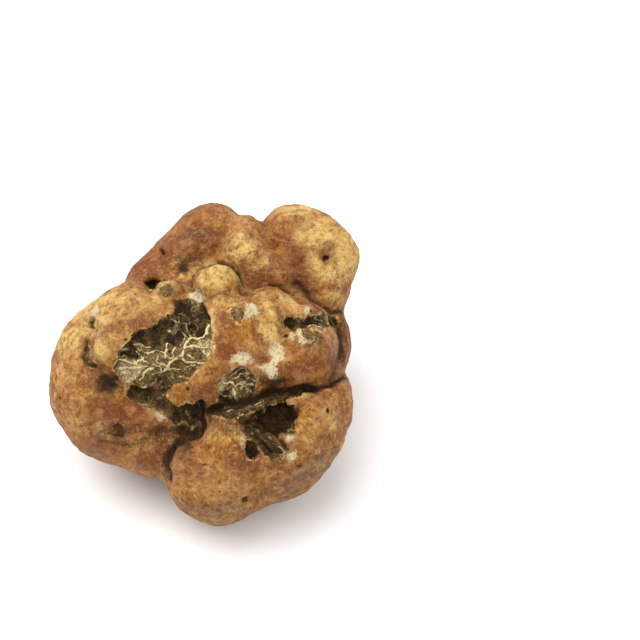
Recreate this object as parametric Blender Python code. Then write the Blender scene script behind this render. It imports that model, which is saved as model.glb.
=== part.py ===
"""A bianchetto truffle (Tuber borchii): one lobed, folded solid with its flesh bared in a few torn hollows.

The truffle grew as one piece, so it is one closed solid. It is built as a distance field: rounded
lobes are blended into masses, the masses meet in tight folds, and hollows and clefts are carved into
the side that looks up at the viewer. A surface-nets mesh of the field's zero level is the solid.

All sizes here are in millimetres until the mesh is made. X runs right, Y away and Z up, and the
truffle stands on Z = 0. Lobes and carvings are placed by sight: across and up are millimetres on the
plane through the truffle's middle that faces a viewer, and out is the distance from it to the viewer.
"""

from math import cos, radians, sin

import bpy
import numpy as np

MM = 0.001

# The grid of the distance field: the size of its cells, and how far it reaches below the ground
CELL = 1.4
MARGIN = 3 * CELL
# Vertices lower than this lie flat on the ground
FLAT_SNAP = 0.35
# How deep inside the solid a grid point is put when it is filled
FILL = 0.3

# The viewer: looks down at the truffle's middle, from a little to the right of it and above
SIGHT_ELEVATION = radians(45)
SIGHT_DISTANCE = 341.0
RIGHT = np.array([1.0, 0.0, 0.0])
UP = np.array([0.0, sin(SIGHT_ELEVATION), cos(SIGHT_ELEVATION)])
OUT = np.array([0.0, -cos(SIGHT_ELEVATION), sin(SIGHT_ELEVATION)])
MIDDLE = np.array([0.2, -4.25, 20.0])
EYE_ACROSS, EYE_UP = 18.4, 7.2
EYE = MIDDLE + EYE_ACROSS * RIGHT + EYE_UP * UP + SIGHT_DISTANCE * OUT

# How far two lobes of one mass, and two masses, run into each other where they meet
LOBE_BLEND = 3.0
FOLD_BLEND = 1.2

# Each lobe: (across, up, out) of its centre, its radii in the same three directions, its roll in degrees
MASSES = {
    "heart": [
        ((1.0, -1.0, -7.0), (17.0, 13.5, 13.0), 0),
        ((0.5, -2.5, -2.5), (18.5, 14.0, 12.0), 0),
        ((3.0, 10.0, -6.6), (15.6, 6.4, 7.0), 0),
        ((-8.0, -7.0, -8.0), (10.0, 8.0, 8.5), 0),
        ((12.0, -6.0, -7.5), (9.0, 9.0, 9.0), 0),
    ],
    "under_front": [((3.0, -16.6, -1.4), (8.2, 7.6, 8.0), 0)],
    "under_left": [((-8.5, -1.4, -16.0), (8.4, 8.0, 8.0), 0)],
    "under_right": [((10.5, -1.0, -16.6), (8.4, 8.0, 8.0), 0)],
    "left": [
        ((-15.4, -3.2, -3.0), (9.7, 10.5, 10.5), 0),
        ((-13.6, -8.4, -2.5), (9.2, 7.4, 9.5), -14),
        ((-7.6, -12.7, -1.5), (5.2, 5.6, 7.5), 0),
        ((-16.5, 3.6, -3.5), (7.4, 5.6, 8.0), 38),
        ((-5.0, -9.0, 1.0), (5.0, 3.6, 6.0), 15),
    ],
    "brow": [
        ((-12.0, 4.2, 2.0), (7.8, 6.2, 9.0), 32),
        ((-11.4, 8.3, -1.0), (6.9, 4.8, 7.5), 22),
    ],
    "small_knob": [((-5.9, 10.9, 3.0), (2.9, 2.7, 3.4), 0)],
    "large_knob": [((1.9, 12.4, 2.9), (3.9, 3.6, 4.4), 0)],
    "middle": [
        ((4.0, 1.2, 3.5), (8.5, 8.5, 10.0), 0),
        ((-6.6, 0.9, 3.0), (7.6, 4.8, 9.0), 18),
        ((-8.6, 3.4, 2.5), (6.0, 5.0, 8.5), 25),
        ((-2.0, 6.0, 1.5), (5.5, 5.0, 8.5), 0),
        ((5.7, 8.0, 5.0), (4.2, 3.4, 5.2), 0),
        ((11.3, 7.0, 4.0), (3.2, 5.6, 6.0), 12),
        ((0.6, -3.6, 5.0), (5.5, 3.2, 7.5), 0),
    ],
    "right": [
        ((15.8, 1.4, 2.2), (5.2, 5.8, 8.0), 0),
        ((11.5, -1.0, 3.5), (6.6, 4.2, 8.0), 8),
        ((15.2, 6.2, 1.6), (5.8, 4.8, 7.4), -30),
    ],
    "bottom": [
        ((2.0, -16.4, 3.0), (8.7, 9.2, 9.5), 0),
        ((7.0, -10.2, 4.0), (7.2, 6.6, 9.2), 0),
        ((12.0, -11.8, 2.0), (8.6, 8.4, 9.5), 0),
        ((11.6, -15.2, 0.0), (6.6, 6.2, 7.5), 30),
        ((18.0, -6.8, -1.0), (5.4, 8.4, 8.0), -8),
        ((16.0, -7.0, 2.6), (6.2, 4.6, 7.0), 0),
    ],
    "rear_left": [
        ((1.6, 19.7, -12.0), (6.1, 6.0, 8.0), 0),
        ((-4.6, 16.6, -10.5), (7.6, 4.6, 7.0), 42),
        ((-8.9, 13.0, -9.0), (4.1, 3.7, 6.5), 30),
        ((6.8, 19.4, -8.4), (4.2, 5.2, 6.0), 0),
        ((9.6, 15.0, -6.5), (6.2, 4.8, 6.5), 0),
        ((2.4, 15.4, -8.6), (4.6, 3.6, 5.0), 0),
        ((5.9, 18.4, -3.9), (2.9, 2.8, 3.0), 0),
        ((12.4, 21.4, -6.4), (3.2, 3.0, 3.2), 0),
    ],
    "rear_right": [
        ((17.8, 16.6, -9.5), (7.0, 6.8, 8.5), 0),
        ((18.4, 11.6, -8.0), (4.4, 4.2, 7.0), 0),
        ((13.0, 20.3, -11.0), (5.4, 5.4, 7.0), 0),
        ((16.8, 20.0, -11.0), (4.6, 4.6, 7.0), 0),
    ],
    "back_left": [
        ((-8.0, 8.2, -17.5), (8.4, 7.2, 8.0), 15),
        ((-16.0, 0.0, -11.5), (6.5, 6.5, 7.0), 0),
    ],
    "back_middle": [
        ((2.5, 11.8, -21.5), (7.4, 7.4, 7.6), 0),
        ((0.5, 5.0, -23.0), (6.6, 6.0, 6.0), 0),
        ((5.0, 15.5, -16.5), (7.0, 5.4, 6.0), 0),
    ],
    "back_right": [
        ((13.6, 10.4, -19.0), (7.8, 7.6, 8.0), 0),
        ((17.2, 0.5, -13.5), (5.4, 7.0, 7.5), 0),
        ((18.0, 3.8, -8.8), (5.3, 6.6, 7.5), 0),
    ],
}

# Clefts that run along a line: half width, depth, and the (across, up) points of the line
CLEFTS = {
    "under_middle": (1.3, 0.4, [(1.0, -6.6), (5.5, -5.4), (9.5, -4.8), (13.5, -4.2), (18.5, -3.9)]),
    "left_of_middle": (1.4, 1.3, [(-11.7, -4.3), (-8.8, -5.9), (-5.9, -7.4), (-3.0, -8.1), (-0.6, -7.8)]),
    "beside_bottom": (1.3, 0.4, [(-0.2, -8.8), (-3.0, -10.9), (-4.8, -12.8), (-5.6, -15.2)]),
    "round_brow": (1.0, 1.1, [(-18.0, 7.0), (-18.7, 3.6), (-18.1, 0.5), (-16.2, -1.4), (-13.8, -2.6)]),
    "right_slit": (1.0, 1.2, [(13.1, 6.6), (15.4, 7.0), (17.8, 7.1), (20.0, 6.2)]),
    "rear_left_fold": (1.3, 0.9, [(6.1, 24.6), (4.2, 23.2), (3.5, 21.1), (2.2, 18.9), (0.5, 17.1)]),
    "rear_right_fold": (1.8, 0.7, [(9.0, 25.0), (9.6, 21.1), (11.8, 18.2), (15.0, 14.4), (17.6, 11.7)]),
}

# Hollows where the skin is torn away: rim softness, depth, and the (across, up) points of the outline
HOLLOWS = {
    "great_tear": (
        1.6,
        0.9,
        [(-4.8, 9.4), (0.2, 9.8), (1.2, 6.6), (1.2, 3.4), (0.0, 0.8), (-3.5, -2.4), (-7.1, -3.4),
         (-10.3, -3.0), (-12.4, -2.7), (-14.2, -0.6), (-12.2, 3.8), (-8.3, 6.0), (-5.2, 7.4)],
    ),
    "lower_tear": (
        1.6,
        0.7,
        [(2.2, -3.0), (4.0, -1.0), (7.8, -0.6), (10.0, -1.8), (12.4, -2.8), (8.0, -4.4), (4.0, -5.2),
         (1.8, -5.2)],
    ),
    "dark_hollow": (
        2.6,
        2.6,
        [(7.8, -7.7), (10.1, -6.7), (14.0, -6.6), (14.2, -9.0), (12.3, -10.9), (10.0, -10.9), (8.4, -9.8)],
    ),
}

# Round pits and dimples: radius, depth, and the (across, up) of the middle
PITS = {
    "tear_upper_pit": (2.0, 1.4, (-2.1, 6.6)),
    "tear_left_pit": (1.8, 0.5, (-10.6, 4.6)),
    "small_hole": (1.2, 1.0, (7.5, -13.4)),
    "cleft_mouth": (1.9, 1.8, (-2.2, -9.2)),
    "left_pit": (1.4, 0.9, (-15.4, -3.0)),
    "navel": (1.6, 1.1, (19.5, 17.2)),
    "rear_hole": (1.3, 1.6, (-8.4, 12.6)),
}

# Uneven growth: (wavelength, height) of each size of swelling over the whole surface
SWELLINGS = [(9.0, 0.5), (4.5, 0.22)]
LATTICE = 24

# Carvings reach only the side that the viewer sees: all of it above this out, and none a little below
CARVED_FROM, CARVED_FULLY = -17.0, -12.0


def place(across, up, out):
    """The point that a viewer at EYE sees at (across, up) on the middle plane, out in front of it."""
    on_plane = MIDDLE + across * RIGHT + up * UP
    return EYE + (on_plane - EYE) * (1 - out / SIGHT_DISTANCE)


def sighted(points):
    """The (across, up, out) at which a viewer at EYE sees each point."""
    offset = points - EYE
    distance = -(offset @ OUT)
    scale = SIGHT_DISTANCE / distance
    across = EYE_ACROSS + (offset @ RIGHT) * scale
    up = EYE_UP + (offset @ UP) * scale
    return across, up, SIGHT_DISTANCE - distance


def lobe_distance(points, centre, radii, roll):
    """Near an ellipsoid, the distance to it: negative inside."""
    turn = radians(roll)
    along = cos(turn) * RIGHT + sin(turn) * UP
    beside = -sin(turn) * RIGHT + cos(turn) * UP
    local = (points - place(*centre)) @ np.array([along, beside, OUT]).T
    nearness = np.linalg.norm(local / radii, axis=-1)
    slope = np.linalg.norm(local / np.square(radii), axis=-1)
    return nearness * (nearness - 1) / np.maximum(slope, 1e-9)


def blended(first, second, width):
    """The union of two distances, rounded off over width where they meet."""
    share = np.clip(0.5 + 0.5 * (second - first) / width, 0, 1)
    return second + (first - second) * share - width * share * (1 - share)


def swelling(points, wavelength, seed):
    """Smooth seeded noise between -1 and 1, with swellings about one wavelength apart."""
    lattice = np.random.default_rng(seed).uniform(-1, 1, (LATTICE,) * 3)
    scaled = points / wavelength + LATTICE
    corner = np.floor(scaled).astype(int)
    part = scaled - corner
    part = part * part * (3 - 2 * part)
    total = np.zeros(points.shape[:-1])
    for step in np.ndindex(2, 2, 2):
        weight = np.prod(np.where(step, part, 1 - part), axis=-1)
        total += weight * lattice[tuple(((corner + step) % LATTICE)[..., axis] for axis in range(3))]
    return total


def line_distance(across, up, line):
    """Distance on the middle plane from each place to a line of points."""
    nearest = np.full(across.shape, np.inf)
    for (x0, y0), (x1, y1) in zip(line[:-1], line[1:]):
        run, rise = x1 - x0, y1 - y0
        share = ((across - x0) * run + (up - y0) * rise) / (run**2 + rise**2)
        share = np.clip(share, 0, 1)
        nearest = np.minimum(nearest, np.hypot(across - x0 - share * run, up - y0 - share * rise))
    return nearest


def outline_distance(across, up, outline):
    """Distance on the middle plane to a closed outline: negative inside it."""
    closed = [*outline, outline[0]]
    within = np.zeros(across.shape, bool)
    for (x0, y0), (x1, y1) in zip(closed[:-1], closed[1:]):
        if y0 != y1:
            level = x0 + (up - y0) * (x1 - x0) / (y1 - y0)
            within ^= ((y0 > up) != (y1 > up)) & (across < level)
    return np.where(within, -1, 1) * line_distance(across, up, closed)


def carved_depth(points):
    """How far the surface sinks at each point: as far as the deepest carving in its sight line."""
    across, up, out = sighted(points)
    depth = np.zeros(across.shape)
    for width, most, line in CLEFTS.values():
        nearness = np.exp(-((line_distance(across, up, line) / width) ** 2))
        depth = np.maximum(depth, most * nearness)
    for softness, most, outline in HOLLOWS.values():
        inside = np.clip(0.5 - outline_distance(across, up, outline) / softness, 0, 1)
        depth = np.maximum(depth, most * inside)
    for radius, most, (pit_across, pit_up) in PITS.values():
        nearness = np.exp(-((np.hypot(across - pit_across, up - pit_up) / radius) ** 2))
        depth = np.maximum(depth, most * nearness)
    return depth * np.clip((out - CARVED_FROM) / (CARVED_FULLY - CARVED_FROM), 0, 1)


def body_distance(points):
    """Distance to the whole truffle before its base is flattened."""
    whole = None
    for lobes in MASSES.values():
        mass = None
        for lobe in lobes:
            distance = lobe_distance(points, *lobe)
            mass = distance if mass is None else blended(mass, distance, LOBE_BLEND)
        whole = mass if whole is None else blended(whole, mass, FOLD_BLEND)
    for seed, (wavelength, height) in enumerate(SWELLINGS):
        whole = whole - height * swelling(points - MIDDLE, wavelength, seed)
    return whole + carved_depth(points)


def truffle_distance(points):
    return np.maximum(body_distance(points), -points[..., 2])


def spread(reached):
    """The reached corners of the grid and the ones next to them."""
    wider = reached.copy()
    for axis in range(3):
        ahead = [slice(None)] * 3
        behind = [slice(None)] * 3
        ahead[axis], behind[axis] = slice(1, None), slice(None, -1)
        wider[tuple(ahead)] |= reached[tuple(behind)]
        wider[tuple(behind)] |= reached[tuple(ahead)]
    return wider


def without_cavities(distance):
    """The grid of distances with every hollow filled that can't be reached from the outside."""
    free = distance >= 0
    reached = np.zeros(free.shape, bool)
    reached[0, 0, 0] = True
    while True:
        wider = spread(reached) & free
        if (wider == reached).all():
            return np.where(free & ~reached, -FILL, distance)
        reached = wider


def without_touching(distance):
    """The grid of distances, filled wherever two parts of the surface would touch along an edge."""
    while True:
        inside = distance < 0
        fill = np.zeros(inside.shape, bool)
        for first, second in ((0, 1), (1, 2), (2, 0)):
            corners = {}
            for step in np.ndindex(2, 2):
                window = [slice(None)] * 3
                window[first] = slice(step[0], inside.shape[first] - 1 + step[0])
                window[second] = slice(step[1], inside.shape[second] - 1 + step[1])
                corners[step] = tuple(window)
            solid = {step: inside[window] for step, window in corners.items()}
            same_across = (solid[0, 0] == solid[1, 1]) & (solid[0, 1] == solid[1, 0])
            crossed = same_across & (solid[0, 0] != solid[0, 1])
            for step, window in corners.items():
                fill[window] |= crossed & ~solid[step]
        if not fill.any():
            return distance
        distance = np.where(fill, -FILL, distance)


def surface_net(distance, low, cell):
    """Vertices and quads round the zero level of a grid of distances.

    Each cell that the level crosses has one vertex, at the mean of the crossings on its edges. Each
    grid edge that the level crosses has one quad, between the vertices of the four cells round it.
    """
    shape = np.array(distance.shape) - 1
    total = np.zeros((*shape, 3))
    count = np.zeros(shape)
    inside = distance < 0
    crossings = []
    for axis in range(3):
        ahead = [slice(None)] * 3
        behind = [slice(None)] * 3
        ahead[axis], behind[axis] = slice(1, None), slice(None, -1)
        near, far = distance[tuple(behind)], distance[tuple(ahead)]
        crossed = inside[tuple(behind)] != inside[tuple(ahead)]
        crossings.append((crossed, inside[tuple(behind)]))
        share = np.where(crossed, near / np.where(crossed, near - far, 1), 0)
        first, second = [other for other in range(3) if other != axis]
        for sides in np.ndindex(2, 2):
            window = [slice(None)] * 3
            window[first] = slice(sides[0], sides[0] + shape[first])
            window[second] = slice(sides[1], sides[1] + shape[second])
            hit = crossed[tuple(window)]
            total[..., axis] += np.where(hit, share[tuple(window)], 0)
            total[..., first] += hit * sides[0]
            total[..., second] += hit * sides[1]
            count += hit
    used = count > 0
    index = np.full(shape, -1)
    index[used] = np.arange(used.sum())
    vertices = low + cell * (np.argwhere(used) + total[used] / count[used][:, None])
    quads = []
    for axis, (crossed, starts_inside) in enumerate(crossings):
        first, second = (axis + 1) % 3, (axis + 2) % 3
        at = np.argwhere(crossed)
        ring = []
        for back_first, back_second in ((1, 1), (0, 1), (0, 0), (1, 0)):
            cell_at = at.copy()
            cell_at[:, first] -= back_first
            cell_at[:, second] -= back_second
            ring.append(index[tuple(cell_at.T)])
        ring = np.stack(ring, axis=1)
        leaves_solid = starts_inside[tuple(at.T)]
        quads.append(np.where(leaves_solid[:, None], ring, ring[:, ::-1]))
    return vertices, np.concatenate(quads)


def evened(vertices, edges, share):
    """The vertices, each moved by a share of the way to the middle of its neighbours."""
    total = np.zeros_like(vertices)
    count = np.zeros(len(vertices))
    np.add.at(total, edges[:, 0], vertices[edges[:, 1]])
    np.add.at(total, edges[:, 1], vertices[edges[:, 0]])
    np.add.at(count, edges.ravel(), 1)
    return vertices + share * (total / count[:, None] - vertices)


def drawn_in(vertices):
    """The vertices, each moved towards the surface along the steepest way, by less than half a cell."""
    here = body_distance(vertices)
    reach = 0.2 * CELL
    slope = np.stack(
        [(body_distance(vertices + reach * axis) - body_distance(vertices - reach * axis)) / (2 * reach)
         for axis in np.eye(3)],
        axis=1,
    )
    steepness = np.maximum((slope**2).sum(axis=1, keepdims=True), 0.5)
    step = here[:, None] * slope / steepness
    length = np.linalg.norm(step, axis=1, keepdims=True)
    return vertices - step * np.minimum(1, 0.4 * CELL / np.maximum(length, 1e-9))


def settle(vertices, quads, rounds=3):
    """The vertices evened out and drawn back onto the surface, with the lowest flat on the ground."""
    edges = np.concatenate([quads[:, [side, (side + 1) % 4]] for side in range(4)])
    for _ in range(rounds):
        vertices = drawn_in(evened(vertices, edges, 0.5))
    vertices = evened(vertices, edges, 0.15)
    vertices[vertices[:, 2] < FLAT_SNAP, 2] = 0
    return vertices


def truffle_mesh():
    low = np.array([-30.0, -32.0, -MARGIN])
    high = np.array([30.0, 32.0, 40.0])
    counts = np.ceil((high - low) / CELL).astype(int) + 1
    grid = low + CELL * np.stack(np.meshgrid(*map(np.arange, counts), indexing="ij"), axis=-1)
    distance = without_touching(without_cavities(truffle_distance(grid)))
    vertices, quads = surface_net(distance, low, CELL)
    return settle(vertices, quads), quads


def skin_material():
    material = bpy.data.materials.new("truffle_skin")
    material.use_nodes = True
    shader = material.node_tree.nodes["Principled BSDF"]
    shader.inputs["Base Color"].default_value = (0.46, 0.24, 0.10, 1)
    shader.inputs["Roughness"].default_value = 0.7
    shader.inputs["Metallic"].default_value = 0
    return material


def build_truffle():
    vertices, quads = truffle_mesh()
    mesh = bpy.data.meshes.new("truffle")
    mesh.from_pydata((vertices * MM).tolist(), [], quads.tolist())
    mesh.shade_smooth()
    mesh.materials.append(skin_material())
    truffle = bpy.data.objects.new("truffle", mesh)
    bpy.context.scene.collection.objects.link(truffle)
    return truffle


def main():
    for old in list(bpy.data.objects):
        bpy.data.objects.remove(old)
    build_truffle()


main()
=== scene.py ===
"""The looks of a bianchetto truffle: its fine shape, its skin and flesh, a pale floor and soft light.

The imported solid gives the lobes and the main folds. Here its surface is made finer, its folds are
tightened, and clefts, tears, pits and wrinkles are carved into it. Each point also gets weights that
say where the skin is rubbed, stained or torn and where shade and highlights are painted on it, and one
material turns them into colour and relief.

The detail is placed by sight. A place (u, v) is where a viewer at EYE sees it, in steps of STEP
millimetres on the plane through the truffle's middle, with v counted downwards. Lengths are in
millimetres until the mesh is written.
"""

from functools import reduce
from math import cos, radians, sin

import bmesh
import bpy
import numpy as np
from mathutils import Matrix, Vector


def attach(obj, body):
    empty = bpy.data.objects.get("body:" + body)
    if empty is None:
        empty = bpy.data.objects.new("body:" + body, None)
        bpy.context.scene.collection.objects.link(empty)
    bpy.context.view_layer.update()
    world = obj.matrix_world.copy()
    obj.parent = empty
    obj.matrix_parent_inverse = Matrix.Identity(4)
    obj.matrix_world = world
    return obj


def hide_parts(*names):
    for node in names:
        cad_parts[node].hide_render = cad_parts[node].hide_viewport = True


MM = 0.001

# The viewer, as in the part's own source
SIGHT_ELEVATION = radians(45)
SIGHT_DISTANCE = 341.0
RIGHT = np.array([1.0, 0.0, 0.0])
UP = np.array([0.0, sin(SIGHT_ELEVATION), cos(SIGHT_ELEVATION)])
OUT = np.array([0.0, -cos(SIGHT_ELEVATION), sin(SIGHT_ELEVATION)])
MIDDLE = np.array([0.2, -4.25, 20.0])
EYE_ACROSS, EYE_UP = 18.4, 7.2
EYE = MIDDLE + EYE_ACROSS * RIGHT + EYE_UP * UP + SIGHT_DISTANCE * OUT
STEP = 0.16
MIDDLE_U, MIDDLE_V = 205.0, 365.0
# Marks reach only the side that the viewer sees: all of it above this out, and none a little below
SEEN_FROM, SEEN_FULLY = -17.0, -12.0

# The finer surface: size of its even cells, and rounds of smoothing that take the solid's facets away
CELL = 0.59
SMOOTHING = 12
# How much of each step of smoothing is taken back, so that the truffle keeps its size
KEEP_SIZE = 0.52
# Rounds of smoothing that tell a fold from a crest, from which hollowness in mm a fold is deepened, the
# most hollowness that counts, and by how much of it
WIDE_SMOOTHING = 30
FOLD_FROM, FOLD_MOST = 0.1, 1.2
FOLD_GAIN = 0.8
# How deep the creases are, in mm, and how dark their painted shade is, on the side that carries no marks
CREASE = 0.6
CREASE_SHADE = 0.55
# How many steps past its edge a tear or a patch fades out, so that noise can shift the edge
EDGE = 6.0

# Clefts: half width in steps, depth in mm, how dark the shade painted in them is, and the places
# along the line
CLEFTS = [
    (2.0, 1.2, 1.0, [(208, 411), (216, 408), (226, 403), (240, 401), (252, 398), (264, 394), (278, 392),
        (292, 391), (304, 388), (318, 388)]),
    (1.4, 0.7, 0.9, [(318, 388), (331, 385), (339, 380), (345, 376)]),
    (1.0, 0.4, 0.8, [(218, 410), (232, 406), (246, 403), (258, 400)]),
    (4.0, 0.6, 0.3, [(134, 394), (148, 402), (162, 409), (180, 415), (198, 412)]),
    (4.5, 0.9, 0.3, [(156, 435), (167, 430), (182, 430), (194, 430), (200, 424)]),
    (1.8, 0.9, 1.0, [(203, 404), (202, 414), (200, 424), (199, 433)]),
    (2.0, 1.0, 1.0, [(197, 434), (184, 438), (175, 444), (169, 455), (167, 466), (169, 478)]),
    (2.0, 0.5, 0.35, [(160, 434), (148, 441), (130, 446), (112, 444), (98, 441)]),
    (1.5, 0.2, 0.2, [(98, 441), (88, 438), (80, 437)]),
    (1.4, 0.5, 0.6, [(88, 341), (85, 350), (84, 358), (88, 364), (96, 367)]),
    (1.2, 0.4, 0.3, [(94, 319), (92, 326), (96, 330)]),
    (1.5, 0.4, 0.4, [(150, 290), (154, 284), (164, 281), (176, 281), (188, 284)]),
    (1.5, 0.7, 0.45, [(192, 290), (194, 278), (203, 268), (217, 263), (231, 267), (240, 277), (242, 290)]),
    (1.6, 0.5, 0.4, [(242, 292), (252, 293), (264, 289), (278, 287), (291, 292), (302, 301)]),
    (1.5, 0.5, 0.7, [(297, 283), (305, 292), (313, 301), (321, 308), (332, 313), (341, 312)]),
    (2.0, 0.6, 0.45, [(289, 323), (299, 324), (312, 320), (326, 319), (335, 323)]),
    (1.4, 0.4, 0.6, [(338, 326), (341, 340), (339, 356), (335, 372), (330, 383)]),
    (1.6, 0.6, 0.9, [(257, 433), (262, 440), (267, 447), (272, 453)]),
    (1.2, 0.5, 0.8, [(280, 439), (284, 445), (288, 450)]),
    (1.3, 0.4, 0.7, [(246, 428), (251, 434), (257, 440)]),
    (1.2, 0.4, 0.7, [(262, 431), (268, 439), (277, 446)]),
    (1.0, 0.3, 0.2, [(262, 340), (264, 322), (262, 304)]),
    (1.2, 0.3, 0.2, [(60, 398), (70, 412), (78, 430)]),
    (1.0, 0.3, 0.3, [(176, 440), (172, 450), (174, 462)]),
    (1.0, 0.3, 0.3, [(192, 437), (186, 446), (181, 458)]),
]

# Tears that bare the flesh: how far they sink in mm, how pale the flesh is, and their outline
TEARS = [
    (0.7, 0.3, [(174, 301), (184, 300), (192, 299), (198, 304), (203, 302), (208, 308), (211, 322),
        (213, 335), (212, 350), (210, 361), (202, 365), (195, 372), (186, 381), (177, 384), (172, 391),
        (160, 393), (146, 390), (133, 386), (124, 380), (115, 371), (113, 363), (118, 354), (122, 348),
        (131, 341), (133, 332), (142, 329), (150, 328), (157, 323), (166, 316), (174, 312)]),
    (0.5, 0.17, [(130, 386), (145, 386), (160, 386), (169, 390), (167, 397), (172, 403), (179, 408),
        (186, 403), (192, 406), (197, 400), (205, 398), (202, 407), (205, 413), (199, 421), (192, 426),
        (184, 422), (176, 425), (169, 420), (162, 414), (150, 408), (139, 403), (128, 396)]),
    (0.4, 0.18, [(217, 384), (221, 379), (227, 375), (233, 371), (240, 367), (247, 369), (253, 375),
        (256, 381), (254, 386), (259, 391), (250, 396), (240, 399), (232, 403), (221, 404), (216, 400),
        (218, 392)]),
    (0.3, 0.14, [(209, 413), (222, 407), (238, 403), (256, 399), (276, 395), (296, 392), (306, 390),
        (302, 395), (288, 398), (272, 403), (262, 409), (250, 411), (240, 416), (226, 419), (216, 416)]),
    (0.3, 0.2, [(285, 321), (289, 316), (294, 319), (299, 317), (303, 320), (308, 316), (316, 317),
        (322, 313), (329, 316), (336, 317), (339, 323), (336, 328), (329, 326), (322, 330), (314, 327),
        (306, 330), (300, 327), (293, 331), (288, 327)]),
    (0.9, 0.04, [(243, 420), (250, 415), (256, 413), (259, 408), (266, 410), (270, 405), (276, 406),
        (279, 402), (285, 401), (288, 405), (294, 405), (293, 411), (297, 416), (293, 421), (294, 427),
        (289, 427), (286, 433), (281, 433), (279, 440), (274, 436), (270, 430), (264, 433), (259, 428),
        (253, 433), (247, 429)]),
    (0.3, 0.16, [(249, 430), (258, 431), (268, 437), (276, 442), (285, 448), (281, 456), (272, 460),
        (264, 456), (258, 447), (251, 438)]),
    (0.5, 0.05, [(248, 440), (254, 443), (258, 449), (259, 455), (254, 460), (248, 458), (245, 451)]),
    (0.12, 0.4, [(231, 314), (233, 309), (237, 307), (243, 309), (244, 315), (242, 321), (238, 324),
        (233, 320)]),
    (0.1, 0.45, [(161, 291), (164, 287), (170, 287), (174, 291), (173, 297), (167, 299), (162, 296)]),
    (0.1, 0.35, [(88, 342), (90, 350), (88, 356), (93, 361), (98, 366), (96, 369), (90, 367), (85, 362),
        (83, 356), (86, 348)]),
    (0.1, 0.35, [(302, 331), (309, 330), (313, 335), (312, 341), (305, 340), (302, 336)]),
]

# The larger veins of the bared flesh: half width in steps, and the places along the line
VEINS = [
    (1.3, [(206, 325), (204, 331), (201, 336), (196, 339), (190, 337), (186, 341), (184, 349), (184, 355)]),
    (1.2, [(184, 355), (179, 359), (175, 361), (171, 364), (168, 368), (165, 373)]),
    (0.9, [(157, 348), (162, 350), (166, 351), (168, 345), (168, 341)]),
    (0.8, [(166, 351), (167, 355), (171, 358), (176, 358)]),
    (0.8, [(146, 353), (152, 351), (155, 350)]),
    (0.8, [(158, 354), (156, 360), (157, 364), (161, 365), (168, 368)]),
    (0.7, [(151, 368), (154, 365), (157, 368), (163, 366)]),
    (0.9, [(139, 357), (143, 361), (147, 363)]),
    (1.4, [(115, 365), (119, 362), (124, 362), (128, 365), (133, 365), (136, 361), (141, 358)]),
    (1.3, [(120, 371), (130, 369), (138, 369), (145, 368)]),
    (1.0, [(154, 371), (147, 372), (144, 375), (142, 379), (139, 382)]),
    (0.7, [(160, 369), (163, 374), (168, 373), (170, 368)]),
    (0.7, [(170, 373), (174, 371), (181, 370)]),
    (0.8, [(178, 361), (184, 361), (187, 364), (191, 362), (203, 361)]),
    (0.6, [(184, 370), (189, 366), (194, 364)]),
    (0.7, [(189, 356), (192, 358), (193, 362)]),
    (0.5, [(200, 351), (204, 354)]),
    (0.8, [(186, 346), (192, 345), (200, 347), (208, 345)]),
    (0.9, [(212, 336), (213, 345), (209, 356)]),
    (0.6, [(175, 356), (172, 351), (176, 346)]),
    (0.9, [(133, 353), (136, 355)]),
    (0.7, [(222, 383), (227, 385), (231, 384), (236, 387), (240, 385), (246, 388)]),
    (1.1, [(234, 390), (236, 394), (235, 397), (239, 400)]),
    (0.7, [(253, 381), (255, 382)]),
    (1.0, [(278, 387), (281, 383), (284, 386)]),
]
# Finer, fainter veins in the same way
FINE_VEINS = [
    (0.7, [(231, 378), (236, 375), (240, 372), (245, 371)]),
    (0.7, [(232, 382), (237, 380), (241, 377), (248, 375)]),
    (0.8, [(238, 385), (243, 383), (248, 386), (253, 385)]),
    (0.8, [(240, 390), (245, 388), (250, 391)]),
    (0.9, [(220, 394), (225, 397), (230, 396), (232, 400)]),
    (0.7, [(228, 390), (232, 387)]),
    (0.9, [(253, 432), (262, 437), (270, 442), (276, 445), (283, 450)]),
    (0.8, [(257, 434), (263, 440), (266, 445), (271, 449)]),
    (0.8, [(201, 418), (200, 424), (198, 431)]),
    (0.9, [(221, 416), (221, 420)]),
    (0.9, [(238, 415), (243, 412)]),
    (0.8, [(226, 410), (232, 408)]),
    (0.8, [(256, 404), (264, 401)]),
    (0.8, [(137, 401), (145, 403), (152, 407), (157, 412)]),
    (0.9, [(318, 317), (324, 320), (331, 319), (336, 324)]),
    (0.8, [(304, 326), (314, 325), (322, 327)]),
    (0.9, [(186, 321), (187, 328), (189, 336)]),
    (0.9, [(180, 331), (184, 336), (183, 342)]),
    (0.9, [(134, 346), (140, 344), (146, 347), (150, 345)]),
    (0.8, [(124, 352), (127, 351)]),
    (0.9, [(150, 378), (156, 375), (161, 378)]),
    (0.8, [(176, 377), (181, 375), (186, 376)]),
    (0.9, [(140, 388), (145, 387)]),
]
# Where short crooked veins are strewn: the middle, radii in steps, and how many
STREWN = [
    ((172, 362), (36, 18), 60), ((140, 366), (24, 16), 24), ((236, 382), (16, 12), 18),
    ((164, 402), (34, 16), 18), ((250, 404), (40, 7), 7), ((190, 318), (18, 14), 20),
    ((268, 420), (22, 16), 4), ((316, 322), (20, 5), 6),
]
STREWN_SEED = 5
# How strongly the finer and the strewn veins show, where the larger ones are 1
FINE_WEIGHT = 0.75
STREWN_WEIGHT = 0.6
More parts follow.
